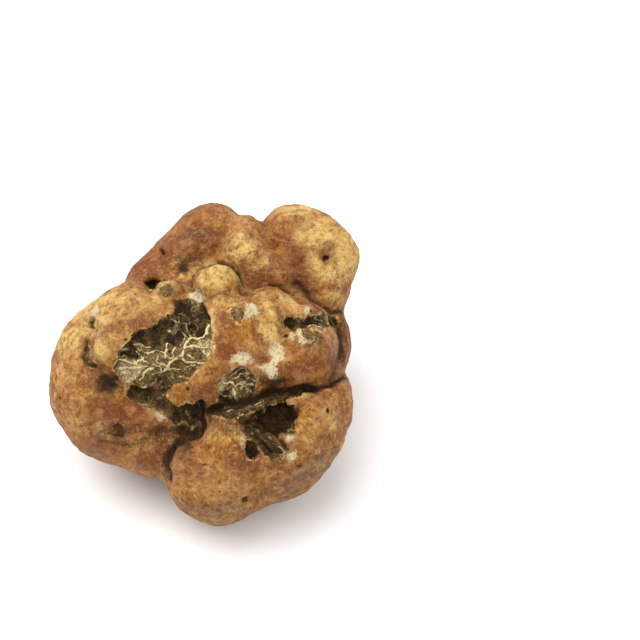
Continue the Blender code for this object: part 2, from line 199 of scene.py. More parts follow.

# An oval is its middle u and v, its radii in steps along and beside its own axis, and that axis's roll
# in degrees where it has one. In the lists below, the first number of each row is what the oval does.
# Where the flesh is paler than the rest of its tear, or darker: the change, and the oval. The darker
# ones along the great tear's upper edge are partly painted shade under the torn skin's lip
PALENESS = [
    (0.9, 203, 343, 9, 6), (1.1, 207, 356, 5, 5), (0.9, 212, 345, 2.5, 9), (0.4, 206, 327, 4, 5),
    (1.5, 128, 374, 9, 5, -15), (1, 136, 370, 7, 3), (0.9, 128, 381, 4, 4, -30),
    (0.6, 128, 363, 11, 3, -10), (1.5, 222, 385, 5, 8, -10), (1, 235, 394, 4, 5), (0.8, 282, 385, 3, 3),
    (0.25, 256, 405, 9, 3, 12), (0.15, 150, 362, 20, 9), (1, 196, 301, 3, 6, 20), (1, 162, 415, 7, 4),
    (0.7, 144, 403, 9, 2, -30), (0.15, 326, 318, 8, 4), (0.5, 297, 321, 3, 4), (0.4, 184, 354, 4, 5),
    (-1, 195, 328, 9, 9), (-0.5, 202, 314, 7, 10), (-0.55, 186, 312, 14, 9),
    (-0.6, 168, 328, 15, 9, 20), (-0.7, 143, 335, 12, 5, 5), (-0.4, 140, 341, 6, 2.5),
    (-0.8, 128, 355, 9, 4), (-0.5, 127, 348, 5, 4), (-0.35, 153, 339, 9, 7), (-0.3, 175, 338, 8, 9),
    (-0.15, 158, 383, 12, 6, -10), (-0.2, 143, 392, 14, 4, -20), (-0.3, 188, 412, 10, 8),
    (-0.3, 186, 415, 12, 6), (-0.4, 228, 394, 4, 3), (-0.4, 224, 400, 9, 4), (-0.15, 243, 373, 9, 5),
    (-0.3, 290, 323, 4, 6), (-0.6, 306, 321, 5, 3), (-0.6, 318, 319, 6, 3), (-0.5, 196, 404, 8, 5),
    (-0.5, 218, 398, 5, 8), (-0.4, 262, 418, 12, 9), (-0.5, 269, 452, 5, 5), (-0.4, 262, 442, 4, 3),
]

# Low swellings: the height in mm, and the oval
SWELLINGS = [
    (0.6, 217, 281, 25, 18), (0.5, 168, 289, 17, 10, 10), (0.4, 242, 249, 17, 16),
    (0.4, 318, 238, 17, 15), (0.4, 344, 262, 12, 22), (0.5, 269, 322, 10, 24), (0.4, 252, 310, 11, 10),
    (0.4, 312, 338, 14, 14), (0.5, 272, 442, 14, 7, -50), (0.4, 290, 438, 9, 7), (0.4, 76, 336, 18, 16),
    (0.5, 105, 346, 13, 16), (0.3, 150, 305, 24, 10, 10),
]

# Pits: the depth in mm, and the oval
PITS = [
    (0.9, 252, 451, 8, 8), (0.9, 152, 285, 5, 4), (0.7, 162, 252, 2.5, 2.5), (1.2, 328, 258, 3, 2.5),
    (0.5, 328, 257, 8, 8), (0.6, 248, 499, 2.2, 1.8), (0.5, 244, 500, 1.8, 1.8), (0.5, 186, 389, 2, 2),
    (0.5, 327, 411, 1.6, 2.4), (0.2, 289, 323, 3, 4), (0.4, 107, 384, 9, 8), (0.3, 119, 427, 6, 4),
    (0.3, 119, 437, 6, 4), (0.5, 272, 417, 16, 10), (0.8, 195, 328, 8, 8),
]

# Stained and rubbed patches with a clear edge, by kind: strength and outline
PATCHES = {
    "dark_stain_and_shade": [
        (1, [(260, 393), (267, 386), (273, 379), (279, 375), (285, 378), (289, 384), (287, 389),
            (282, 384), (278, 386), (275, 392)]),
        (0.7, [(294, 461), (302, 459), (305, 463), (300, 470), (296, 469)]),
        (0.7, [(102, 377), (106, 374), (111, 380), (116, 383), (116, 388), (109, 391), (103, 389),
            (101, 383)]),
        (1, [(147, 283), (154, 280), (158, 284), (155, 289), (149, 289)]),
    ],
    "scuff": [
        (1.1, [(190, 292), (195, 287), (199, 290), (204, 296), (202, 302), (196, 301), (191, 299)]),
        (0.85, [(207, 303), (210, 309), (213, 320), (214, 332), (213, 345), (211, 335), (210, 320)]),
        (1, [(273, 343), (281, 343), (283, 350), (284, 360), (278, 364), (277, 370), (280, 378),
            (272, 378), (264, 371), (256, 368), (257, 365), (269, 364), (270, 358), (269, 351)]),
        (0.95, [(230, 364), (233, 357), (240, 352), (248, 354), (252, 360), (250, 365), (240, 366)]),
        (0.85, [(244, 303), (250, 302), (257, 306), (261, 312), (256, 318), (250, 319), (244, 317),
            (245, 310)]),
        (1, [(91, 318), (93, 310), (98, 302), (99, 308), (97, 318)]),
        (1, [(288, 330), (292, 331), (294, 336), (293, 340), (289, 338)]),
        (1.1, [(297, 331), (301, 330), (301, 337), (304, 340), (307, 343), (301, 344), (297, 338)]),
        (1, [(304, 311), (307, 307), (311, 308), (309, 311), (309, 315), (305, 315)]),
        (0.9, [(287, 451), (296, 451), (297, 457), (293, 463), (288, 459)]),
        (0.9, [(154, 411), (163, 411), (169, 415), (169, 421), (158, 420)]),
        (1, [(217, 384), (222, 378), (227, 376), (226, 383), (222, 392), (218, 391)]),
        (0.9, [(194, 297), (199, 293), (201, 300), (197, 306), (194, 303)]),
        (0.9, [(210, 337), (214, 340), (213, 350), (210, 360), (205, 358), (209, 350)]),
        (0.8, [(119, 371), (128, 370), (132, 379), (126, 380)]),
        (0.75, [(283, 436), (290, 433), (297, 436), (293, 442), (286, 442)]),
        (0.8, [(240, 431), (245, 436), (246, 443), (243, 448), (241, 440)]),
        (0.7, [(252, 437), (257, 440), (260, 446), (256, 446)]),
    ],
}

# Soft stains, by kind: the strength, and the oval. The dark, olive and rusty kinds also hold
# painted shade, and the cream kind painted highlights
MARKS = {
    # Nearly black spots, holes and pits, and painted shadow in the dark hollows and along the right edge
    "dark_stain_and_shade": [
        (1.2, 152, 285, 6, 4, 20), (1.1, 162, 252, 3, 3), (0.8, 167, 257, 2, 2), (1, 328, 258, 3, 3),
        (0.8, 182, 430, 18, 6, 5), (0.6, 162, 434, 10, 5, 25), (1, 194, 428, 7, 6),
        (0.9, 117, 377, 5, 4), (1.2, 119, 427, 6, 3), (1.1, 119, 436, 7, 3.5), (0.7, 109, 433, 3, 2),
        (0.8, 300, 465, 5, 4), (0.6, 183, 498, 5, 4), (0.8, 94, 365, 5, 3, -40), (0.7, 86, 350, 2, 8, 5),
        (0.7, 92, 323, 4, 4, -30), (1.1, 247, 499, 3.5, 2.5), (0.9, 243, 501, 2.5, 2),
        (1.2, 186, 389, 2.6, 2.4), (1.2, 327, 411, 1.8, 3.2), (1.1, 126, 339, 2.2, 1.6),
        (1.2, 286, 336, 2, 2.8, -20), (0.9, 277, 313, 2, 2), (0.8, 276, 298, 3, 2, -10),
        (0.6, 344, 318, 5, 6), (0.9, 311, 312, 2.5, 3), (0.9, 212, 372, 2, 2), (0.8, 205, 464, 4, 1.4),
        (0.7, 234, 461, 2.5, 2), (0.8, 230, 457, 1.6, 1.6), (0.55, 241, 344, 2.5, 5, -20),
        (0.6, 262, 377, 4, 3), (0.6, 264, 383, 3, 4), (0.5, 226, 338, 7, 4), (0.9, 283, 380, 5, 3, -30),
        (0.9, 166, 462, 4, 12), (0.65, 172, 448, 7, 8, 20), (0.5, 132, 244, 3, 2), (0.9, 183, 268, 7, 6),
        (0.5, 60, 372, 2, 3), (0.6, 315, 470, 2, 3), (0.8, 198, 414, 5, 9), (0.5, 214, 470, 2, 2),
        (0.5, 318, 393, 5, 4), (1, 262, 405, 14, 7, 15), (1, 244, 420, 13, 9),
        (1, 252, 431, 13, 7, -20), (0.9, 268, 438, 12, 7, -30), (0.9, 288, 430, 9, 9),
        (0.8, 296, 412, 6, 12), (0.9, 280, 400, 12, 6, 20), (0.9, 266, 446, 18, 9, -48),
        (0.8, 234, 414, 12, 6, 15), (1.1, 109, 384, 13, 10, 20), (1.1, 105, 378, 5, 5),
        (0.75, 120, 431, 10, 10), (0.8, 186, 442, 8, 14, 20), (0.8, 265, 381, 8, 6),
        (0.8, 288, 322, 10, 8), (0.7, 318, 315, 16, 5), (0.9, 341, 345, 5, 24),
    ],
    # Olive-brown stains, and painted shade in the dark hollows between the lower lobes
    "olive_and_shade": [
        (1.1, 174, 434, 28, 11, 5), (1.5, 184, 266, 9, 9), (0.8, 192, 258, 9, 5), (1, 268, 424, 30, 22),
        (1.4, 238, 426, 18, 11, 20), (1.1, 316, 342, 8, 10), (0.7, 312, 320, 30, 7),
        (1.4, 228, 416, 22, 7, 5), (0.6, 148, 434, 14, 5, 30), (0.8, 236, 421, 16, 7, 5),
        (0.8, 250, 432, 8, 9, 20), (0.7, 216, 416, 12, 8), (0.8, 232, 406, 24, 6, 10),
        (0.6, 280, 398, 24, 5, 8), (0.7, 312, 336, 9, 11), (1, 198, 236, 15, 11),
        (0.7, 190, 266, 14, 10), (1.2, 108, 384, 18, 15), (0.6, 128, 392, 16, 7, -20),
        (1.1, 118, 432, 15, 14), (0.5, 104, 424, 8, 6), (1.4, 268, 444, 20, 15, -48),
        (0.8, 172, 445, 12, 14), (0.5, 160, 455, 12, 14), (0.5, 300, 322, 24, 9),
        (0.7, 92, 362, 10, 9, -40), (0.5, 92, 324, 7, 7), (0.5, 183, 499, 9, 7), (0.5, 262, 380, 12, 8),
        (0.6, 304, 492, 36, 10, 44), (0.5, 324, 448, 10, 22, -20), (0.5, 168, 293, 9, 8),
    ],
    # Cream patches, and painted highlights on the tops of the bumps and knobs
    "cream_and_highlight": [
        (1.1, 178, 262, 9, 3, 30), (1, 192, 266, 8, 3, -20), (0.9, 184, 273, 7, 2.5, 50),
        (1.1, 92, 305, 30, 15, 35), (0.65, 136, 306, 34, 12, 15), (0.8, 96, 322, 26, 14, 30),
        (1.5, 241, 248, 15, 14), (0.6, 262, 264, 13, 9, 30), (1.5, 318, 234, 22, 14),
        (1.5, 344, 252, 14, 24), (1, 316, 262, 10, 12), (1.1, 330, 275, 14, 10), (0.8, 334, 296, 12, 9),
        (1.3, 214, 275, 20, 15), (1, 300, 210, 28, 7, 5), (0.7, 120, 298, 24, 9, 20),
        (0.9, 166, 284, 13, 6), (1.1, 72, 340, 16, 16), (0.9, 103, 346, 11, 14), (0.5, 62, 375, 10, 18),
        (0.7, 148, 300, 20, 7), (0.5, 262, 292, 14, 6), (1.3, 268, 324, 10, 24, 5),
        (0.9, 286, 298, 13, 9, -40), (0.8, 222, 302, 16, 8), (0.6, 268, 306, 8, 10),
        (0.5, 252, 346, 9, 6), (0.7, 332, 420, 8, 16, -10), (0.8, 306, 396, 11, 5, 10),
        (0.6, 222, 437, 18, 7), (0.6, 236, 488, 20, 9), (0.5, 75, 425, 12, 14, -30),
        (0.7, 106, 424, 7, 5), (0.8, 240, 437, 6, 9), (0.5, 274, 438, 12, 8, -40), (0.9, 214, 344, 3, 12),
        (0.9, 140, 400, 10, 4, -30), (1, 213, 318, 3, 16, -4), (0.7, 156, 412, 10, 6, -20),
        (0.7, 130, 384, 10, 5, -20), (0.5, 300, 314, 14, 8),
    ],
    "amber": [
        (1.1, 245, 333, 14, 13), (0.6, 236, 348, 12, 8), (0.8, 225, 442, 24, 16), (0.5, 258, 480, 28, 18),
        (0.8, 192, 390, 24, 10, 10), (0.7, 228, 284, 14, 10), (0.9, 302, 358, 14, 10),
        (0.5, 322, 350, 12, 18), (0.6, 130, 312, 24, 10, 20), (0.6, 346, 278, 9, 20),
        (0.7, 272, 218, 18, 9), (0.5, 322, 286, 16, 12), (0.7, 304, 412, 14, 18), (0.6, 290, 340, 8, 10),
        (0.6, 105, 352, 10, 10), (0.5, 230, 320, 10, 10), (0.7, 262, 382, 9, 5), (0.5, 290, 385, 8, 5),
    ],
    "plum": [
        (0.9, 190, 222, 38, 22, 25), (1.3, 150, 258, 34, 20, 35), (1.1, 214, 238, 18, 15),
        (1.2, 182, 244, 30, 14, 20), (1.2, 270, 236, 10, 22, 18), (1, 298, 244, 11, 20, 12),
        (0.9, 280, 258, 18, 12, 20), (0.8, 262, 284, 26, 7), (0.9, 300, 284, 14, 12, 40),
        (0.9, 125, 412, 34, 11), (0.7, 95, 447, 40, 12, -12), (0.6, 220, 512, 50, 9),
        (0.6, 302, 486, 32, 14, 42), (0.7, 186, 462, 12, 20), (0.5, 152, 462, 24, 12, -30),
        (0.5, 96, 376, 12, 8), (0.7, 226, 340, 10, 8), (0.5, 330, 375, 9, 14), (0.5, 330, 302, 12, 8),
    ],
    # Rusty brown areas, and painted shade where the left lobe curves into its fold and along the right edge
    "rust_and_shade": [
        (0.9, 150, 428, 46, 12, 10), (0.85, 110, 412, 40, 14, -10), (1, 208, 388, 30, 9, 20),
        (1.2, 322, 366, 26, 18), (1.3, 300, 376, 36, 16, 5), (1.3, 226, 350, 14, 18),
        (0.6, 268, 470, 60, 26, 20), (0.8, 208, 258, 22, 7), (0.6, 290, 230, 14, 12),
        (0.8, 296, 264, 12, 14), (0.6, 262, 282, 26, 9), (0.9, 240, 270, 8, 8),
        (0.9, 312, 298, 12, 12, 40), (1, 306, 372, 24, 13), (0.6, 326, 356, 10, 20),
        (1.1, 224, 352, 11, 16), (0.8, 200, 390, 28, 10, 8), (0.9, 120, 408, 36, 13),
        (0.9, 140, 427, 26, 9, -10), (0.6, 105, 448, 40, 12, -12), (0.8, 150, 460, 22, 14, -20),
        (0.6, 142, 318, 24, 9, 25), (0.5, 112, 320, 8, 6), (0.6, 190, 450, 14, 16),
        (0.8, 250, 466, 40, 11, -5), (0.6, 300, 478, 28, 14, 44), (0.9, 345, 330, 8, 24),
        (0.9, 328, 257, 11, 9), (0.8, 76, 340, 6, 5), (0.7, 230, 326, 12, 7), (0.9, 300, 404, 6, 5),
        (0.5, 252, 455, 18, 12), (0.5, 66, 400, 14, 22), (0.7, 96, 384, 10, 14), (0.7, 248, 356, 14, 8),
        (0.6, 294, 350, 8, 12), (0.8, 264, 358, 7, 8), (0.9, 216, 372, 16, 10), (0.7, 208, 410, 6, 10),
        (0.6, 224, 430, 16, 5), (0.7, 320, 404, 8, 8), (0.5, 257, 320, 7, 10), (1.1, 277, 418, 14, 12),
        (0.8, 100, 366, 8, 7), (0.7, 160, 320, 16, 6, 25), (0.6, 324, 438, 9, 12), (0.6, 178, 396, 12, 6),
        (0.5, 336, 268, 7, 7), (0.9, 312, 384, 16, 5, 5), (0.8, 330, 384, 8, 6),
    ],
    "grey": [
        (1.4, 312, 338, 11, 13), (0.5, 238, 315, 8, 8), (1.2, 108, 428, 12, 10), (1, 109, 386, 16, 13),
        (0.6, 183, 500, 8, 6), (0.6, 90, 452, 36, 10, -18), (1.5, 318, 468, 26, 12, 52),
        (1.8, 292, 493, 40, 16, 38), (1.1, 222, 513, 46, 13), (0.5, 56, 420, 8, 24, -10),
        (0.7, 168, 293, 9, 7), (0.7, 322, 470, 10, 24, -30), (0.5, 190, 262, 20, 9),
        (0.6, 196, 238, 20, 10), (0.6, 190, 448, 7, 12), (0.5, 332, 325, 8, 5), (0.5, 88, 360, 9, 10),
        (0.5, 60, 430, 14, 16, -30), (0.5, 140, 466, 18, 8, -25),
    ],
}


def sighted(points):
    """The (u, v, out) at which a viewer at EYE sees each point."""
    offset = points - EYE
    distance = -(offset @ OUT)
    scale = SIGHT_DISTANCE / distance
    across = EYE_ACROSS + (offset @ RIGHT) * scale
    up = EYE_UP + (offset @ UP) * scale
    return MIDDLE_U + across / STEP, MIDDLE_V - up / STEP, SIGHT_DISTANCE - distance


def smooth_step(low, high, value):
    """0 below low, 1 above high and a smooth change between them."""
    share = np.clip((value - low) / (high - low), 0, 1)
    return share * share * (3 - 2 * share)


def noise(points, wavelength, seed):
    """Smooth seeded noise, mostly between -1 and 1, that changes over about one wavelength."""
    size = 24
    slopes = np.random.default_rng(seed).normal(size=(size,) * 3 + (3,))
    slopes /= np.linalg.norm(slopes, axis=-1, keepdims=True)
    scaled = points / wavelength
    corner = np.floor(scaled).astype(int)
    part = scaled - corner
    fade = part**3 * (part * (part * 6 - 15) + 10)
    total = np.zeros(len(points))
    for step in np.ndindex(2, 2, 2):
        weight = np.prod(np.where(step, fade, 1 - fade), axis=-1)
        slope = slopes[tuple(((corner + step) % size).T)]
        total += weight * ((part - step) * slope).sum(axis=-1)
    return 1.8 * total


def line_distance(u, v, line):
    """Distance in steps from each place to a line of places."""
    nearest = np.full(u.shape, np.inf)
    for (u0, v0), (u1, v1) in zip(line[:-1], line[1:]):
        run, rise = u1 - u0, v1 - v0
        share = np.clip(((u - u0) * run + (v - v0) * rise) / (run**2 + rise**2), 0, 1)
        nearest = np.minimum(nearest, np.hypot(u - u0 - share * run, v - v0 - share * rise))
    return nearest


def outline_distance(u, v, outline):
    """Distance in steps to a closed outline: negative inside it."""
    closed = [*outline, outline[0]]
    within = np.zeros(u.shape, bool)
    for (u0, v0), (u1, v1) in zip(closed[:-1], closed[1:]):
        if v0 != v1:
            level = u0 + (v - v0) * (u1 - u0) / (v1 - v0)
            within ^= ((v0 > v) != (v1 > v)) & (u < level)
    return np.where(within, -1, 1) * line_distance(u, v, closed)


def spot(u, v, middle_u, middle_v, radius_along, radius_beside, roll=0):
    """1 in the middle of an oval, about 0.4 at its radii and next to nothing at twice them."""
    turn = radians(roll)
    across, down = u - middle_u, v - middle_v
    along = across * cos(turn) - down * sin(turn)
    beside = across * sin(turn) + down * cos(turn)
    return np.exp(-((along / radius_along) ** 2) - (beside / radius_beside) ** 2)


def near(distance, half_width):
    """1 where the distance is nothing, a half at the half width and 0 from twice that on."""
    return np.clip(1 - distance / (2 * half_width), 0, 1)


def within(u, v, outline):
    """A half on the outline, 1 from EDGE steps inside it and 0 from EDGE steps outside."""
    return np.clip(0.5 - outline_distance(u, v, outline) / (2 * EDGE), 0, 1)


class Surface:
    """A mesh as arrays: its points in millimetres, and the edges between them."""

    def __init__(self, mesh):
        self.mesh = mesh
        count = len(mesh.vertices)
        flat = np.empty(3 * count)
        mesh.vertices.foreach_get("co", flat)
        self.points = flat.reshape(-1, 3) / MM
        ends = np.empty(2 * len(mesh.edges), int)
        mesh.edges.foreach_get("vertices", ends)
        self.edges = ends.reshape(-1, 2)
        self.neighbours = np.bincount(ends, minlength=count)

    def write(self):
        """Puts the points back into the mesh."""
        self.mesh.vertices.foreach_set("co", (self.points * MM).ravel())
        self.mesh.update()

    def normals(self):
        """The outward direction at each point."""
        self.write()
        flat = np.empty(3 * len(self.points))
        self.mesh.vertex_normals.foreach_get("vector", flat)
        return flat.reshape(-1, 3)

    def averaged(self, values):
        """Each point's value replaced by the mean of its neighbours'."""
        first, second = self.edges.T
        count = len(values)
        total = np.empty_like(values)
        for axis, column in enumerate(values.T):
            total[:, axis] = np.bincount(first, column[second], count)
            total[:, axis] += np.bincount(second, column[first], count)
        return total / self.neighbours[:, None]

    def drawn(self, values, share):
        """The values drawn by a share towards the mean of their neighbours'."""
        return values + share * (self.averaged(values) - values)

    def smooth(self, rounds):
        """Evens out the points, each round with a step back that keeps the truffle's size."""
        for _ in range(rounds):
            self.points = self.drawn(self.points, 0.5)
            self.points = self.drawn(self.points, -KEEP_SIZE)

    def hollowness(self):
        """How far each point lies below its surroundings, in mm: negative on a crest."""
        around = self.points
        for _ in range(WIDE_SMOOTHING):
            around = self.drawn(around, 0.5)
        return ((around - self.points) * self.normals()).sum(axis=1)


def new_object(name, data):
    """A new object in the scene."""
    thing = bpy.data.objects.new(name, data)
    bpy.context.scene.collection.objects.link(thing)
    return thing


def fine_copy(node):
    """The CAD node's shape as a new object with even, small faces."""
    piece = new_object("truffle_skin", node.data.copy())
    remesh = piece.modifiers.new("even cells", "REMESH")
    remesh.mode = "VOXEL"
    remesh.voxel_size = CELL * MM
    evaluated = piece.evaluated_get(bpy.context.evaluated_depsgraph_get())
    mesh = bpy.data.meshes.new_from_object(evaluated)
    mesh.name = "truffle_skin"
    piece.modifiers.clear()
    piece.data = mesh
    return piece


def refine(mesh, weight):
    """Splits every face where the weight is over a half into four."""
    work = bmesh.new()
    work.from_mesh(mesh)
    work.faces.ensure_lookup_table()
    chosen = [face for face in work.faces if max(weight[vertex.index] for vertex in face.verts) > 0.5]
    edges = list({edge for face in chosen for edge in face.edges})
    bmesh.ops.subdivide_edges(work, edges=edges, cuts=1, use_grid_fill=True)
    work.to_mesh(mesh)
    work.free()


def waves(points):
    """How many steps each place moves in u and v, so that nothing drawn there has a smooth edge."""
    wave_u = 1.8 * noise(points, 1.7, 11) + 1.1 * noise(points, 0.7, 12)
    wave_v = 1.8 * noise(points, 1.7, 13) + 1.1 * noise(points, 0.7, 14)
    return wave_u, wave_v


def seen_share(surface):
    """1 where the surface faces the viewer on the side that carries marks, and 0 elsewhere."""
    towards = EYE - surface.points
    squarely = (surface.normals() * towards).sum(axis=1) / np.linalg.norm(towards, axis=1)
    out = sighted(surface.points)[2]
    return smooth_step(SEEN_FROM, SEEN_FULLY, out) * smooth_step(-0.1, 0.12, squarely)


def strewn_veins():
    """Short crooked lines of places, strewn where the flesh is bare."""
    rng = np.random.default_rng(STREWN_SEED)
    lines = []
    for middle, radii, count in STREWN:
        for _ in range(count):
            place = np.array(middle) + np.array(radii) * rng.uniform(-1, 1, 2)
            heading = rng.choice([-0.6, 0.2, 1.2]) + rng.normal(0, 0.5)
            line = [tuple(place)]
            for _ in range(rng.integers(2, 5)):
                heading += rng.normal(0, 0.7)
                place = place + rng.uniform(1.5, 3) * np.array([cos(heading), sin(heading)])
                line.append(tuple(place))
            lines.append((rng.uniform(0.6, 1.0), line))
    return lines


def tears(u, v):
    """How far within a tear each place is, how deep the tear sinks, and how pale its flesh is."""
    torn = np.zeros(u.shape)
    sink = np.zeros(u.shape)
    pale = np.zeros(u.shape)
    total = np.full(u.shape, 1e-6)
    for depth, paleness, outline in TEARS:
        inside = within(u, v, outline)
        torn = np.maximum(torn, inside)
        sink = np.maximum(sink, depth * smooth_step(0.42, 0.85, inside))
        share = np.maximum(inside - 0.2, 0) ** 2
        pale += share * paleness
        total += share
    pale = pale / total
    for change, *oval in PALENESS:
        pale = pale + change * spot(u, v, *oval)
    return torn, sink, np.clip(pale, 0, 1)


def clefts(u, v):
    """How deep the clefts are at each place, and how dark the shade painted in them is."""
    depth = np.zeros(u.shape)
    dark = np.zeros(u.shape)
    for half_width, most, painted_shade, line in CLEFTS:
        distance = line_distance(u, v, line)
        depth = np.maximum(depth, most * np.exp(-((distance / (1.3 * half_width)) ** 2)))
        dark = np.maximum(dark, painted_shade * near(distance, 1.8 * half_width))
    return depth, dark


def veins(points, u, v, torn):
    """How near each place in a tear is to the middle of a vein; the veins swell and pinch by turns."""
    bare = np.flatnonzero(torn > 0.3)
    plump = np.clip(1 + 0.6 * noise(points[bare], 1.3, 31), 0.3, 1.5)
    nearest = np.zeros(len(bare))
    for strength, lines in ((1, VEINS), (FINE_WEIGHT, FINE_VEINS), (STREWN_WEIGHT, strewn_veins())):
        for half_width, line in lines:
            nearness = near(line_distance(u[bare], v[bare], line), half_width * plump)
            nearest = np.maximum(nearest, strength * nearness)
    weight = np.zeros(u.shape)
    weight[bare] = nearest
    return weight


def swellings(u, v):
    """How far the low swellings rise at each place, with a clear foot all round."""
    height = np.zeros(u.shape)
    for most, *oval in SWELLINGS:
        off = -np.log(np.maximum(spot(u, v, *oval), 1e-6))
        height = np.maximum(height, most * np.clip(1 - off, 0, 1) ** 0.7)
    return height


def most_of(u, v, ovals):
    """The most that any of the ovals gives at each place."""
    most = np.zeros(u.shape)
    for strength, *oval in ovals:
        most = np.maximum(most, strength * spot(u, v, *oval))
    return most


def marks(u, v):
    """The weight of each kind of stain or rubbed spot, by name."""
    weights = {kind: most_of(u, v, ovals) for kind, ovals in MARKS.items()}
    for kind, patches in PATCHES.items():
        for strength, outline in patches:
            weights[kind] = np.maximum(weights.get(kind, 0), strength * within(u, v, outline))
    return weights


def tighten(mesh):
    """Takes the facets away, and makes the folds between the lobes narrower and deeper."""
    surface = Surface(mesh)
    surface.smooth(SMOOTHING)
    deeper = FOLD_GAIN * np.clip(surface.hollowness() - FOLD_FROM, 0, FOLD_MOST)
    surface.points -= surface.normals() * deeper[:, None]
    surface.smooth(2)
    surface.write()


def subdivide(mesh):
    """Makes the faces smaller on the side that carries marks, and smaller again in the tears."""
    surface = Surface(mesh)
    refine(mesh, seen_share(surface))
    surface = Surface(mesh)
    surface.smooth(3)
    surface.write()
    u, v, _ = sighted(surface.points)
    refine(mesh, (tears(u, v)[0] > 0.45) * seen_share(surface))


def creases(points):
    """1 in the middle of creases that wander over the surface and come and go, and 0 elsewhere."""
    where = smooth_step(0.0, 0.5, noise(points, 9.0, 24))
    return where * smooth_step(0.2, 0.03, np.abs(noise(points, 8.0, 23)))


def relief(points, bare, vein, pale):
    """Lumps and dents in mm, outwards, with wrinkles on the skin and veins on the bare flesh."""
    lumps = 0.22 * noise(points, 4.2, 1) + 0.14 * noise(points, 2.1, 2)
    wrinkles = 0.14 * (0.4 - np.abs(noise(points, 1.25, 3))) + 0.05 * noise(points, 0.65, 4)
    flesh = 0.22 * noise(points, 1.2, 5) + 0.14 * noise(points, 0.55, 6) + 0.12 * vein
    flesh -= 0.25 * smooth_step(0.25, 0.0, pale)
    return lumps + wrinkles * (1 - bare) + flesh * bare


def all_round(points, placed, share, crease):
    """The placed weights on the side that carries them, and stains by chance on the others."""
    weights = {name: weight * share for name, weight in placed.items()}
    # Painted shade in the wandering creases
    weights["cleft"] += CREASE_SHADE * crease
    weights["dark_stain_and_shade"] += (1 - share) * smooth_step(0.75, 1.1, noise(points, 4.0, 21))
    weights["scuff"] += (1 - share) * smooth_step(0.8, 1.1, noise(points, 5.0, 22))
    weights["hidden"] = 1 - share
    return weights


def carve(mesh):
    """Carves the fine shape into the mesh, and returns the material's weights, by name."""
    surface = Surface(mesh)
    points = surface.points
    u, v, _ = sighted(points)
    share = seen_share(surface)
    wave_u, wave_v = waves(points)
    ragged = u + wave_u, v + wave_v
    wavy = u + 0.5 * wave_u, v + 0.5 * wave_v
    torn, sink, pale = tears(*ragged)
    vein = veins(points, u + 0.6 * wave_u, v + 0.6 * wave_v, torn)
    cleft, dark = clefts(*wavy)
    crease = (1 - share) * creases(points)
    change = relief(points, smooth_step(0.45, 0.6, torn) * share, vein, pale)
    change += share * (swellings(*wavy) - sink - cleft - most_of(*wavy, PITS))
    change -= CREASE * crease
    # The spots that it rests on stay as they are
    change *= smooth_step(0.0, 1.0, points[:, 2])
    surface.points = points + surface.normals() * change[:, None]
    surface.points[:, 2] = np.maximum(surface.points[:, 2], 0)
    surface.write()

    # The cleft weight is the shade painted in the clefts
    placed = {"flesh": torn, "pale": pale, "vein": vein, "cleft": dark, **marks(*ragged)}
    weights = all_round(points, placed, share, crease)
    # Painted shade in the hollows between the lobes: the deeper the hollow, the darker
    weights["fold"] = smooth_step(0.03, 0.45, surface.hollowness())
    return weights


def store(mesh, weights):
    """Keeps each weight in the mesh as an attribute that the material reads."""
    for name, values in weights.items():
        attribute = mesh.attributes.new(name, "FLOAT", "POINT")
        attribute.data.foreach_set("value", values.astype(np.float32))


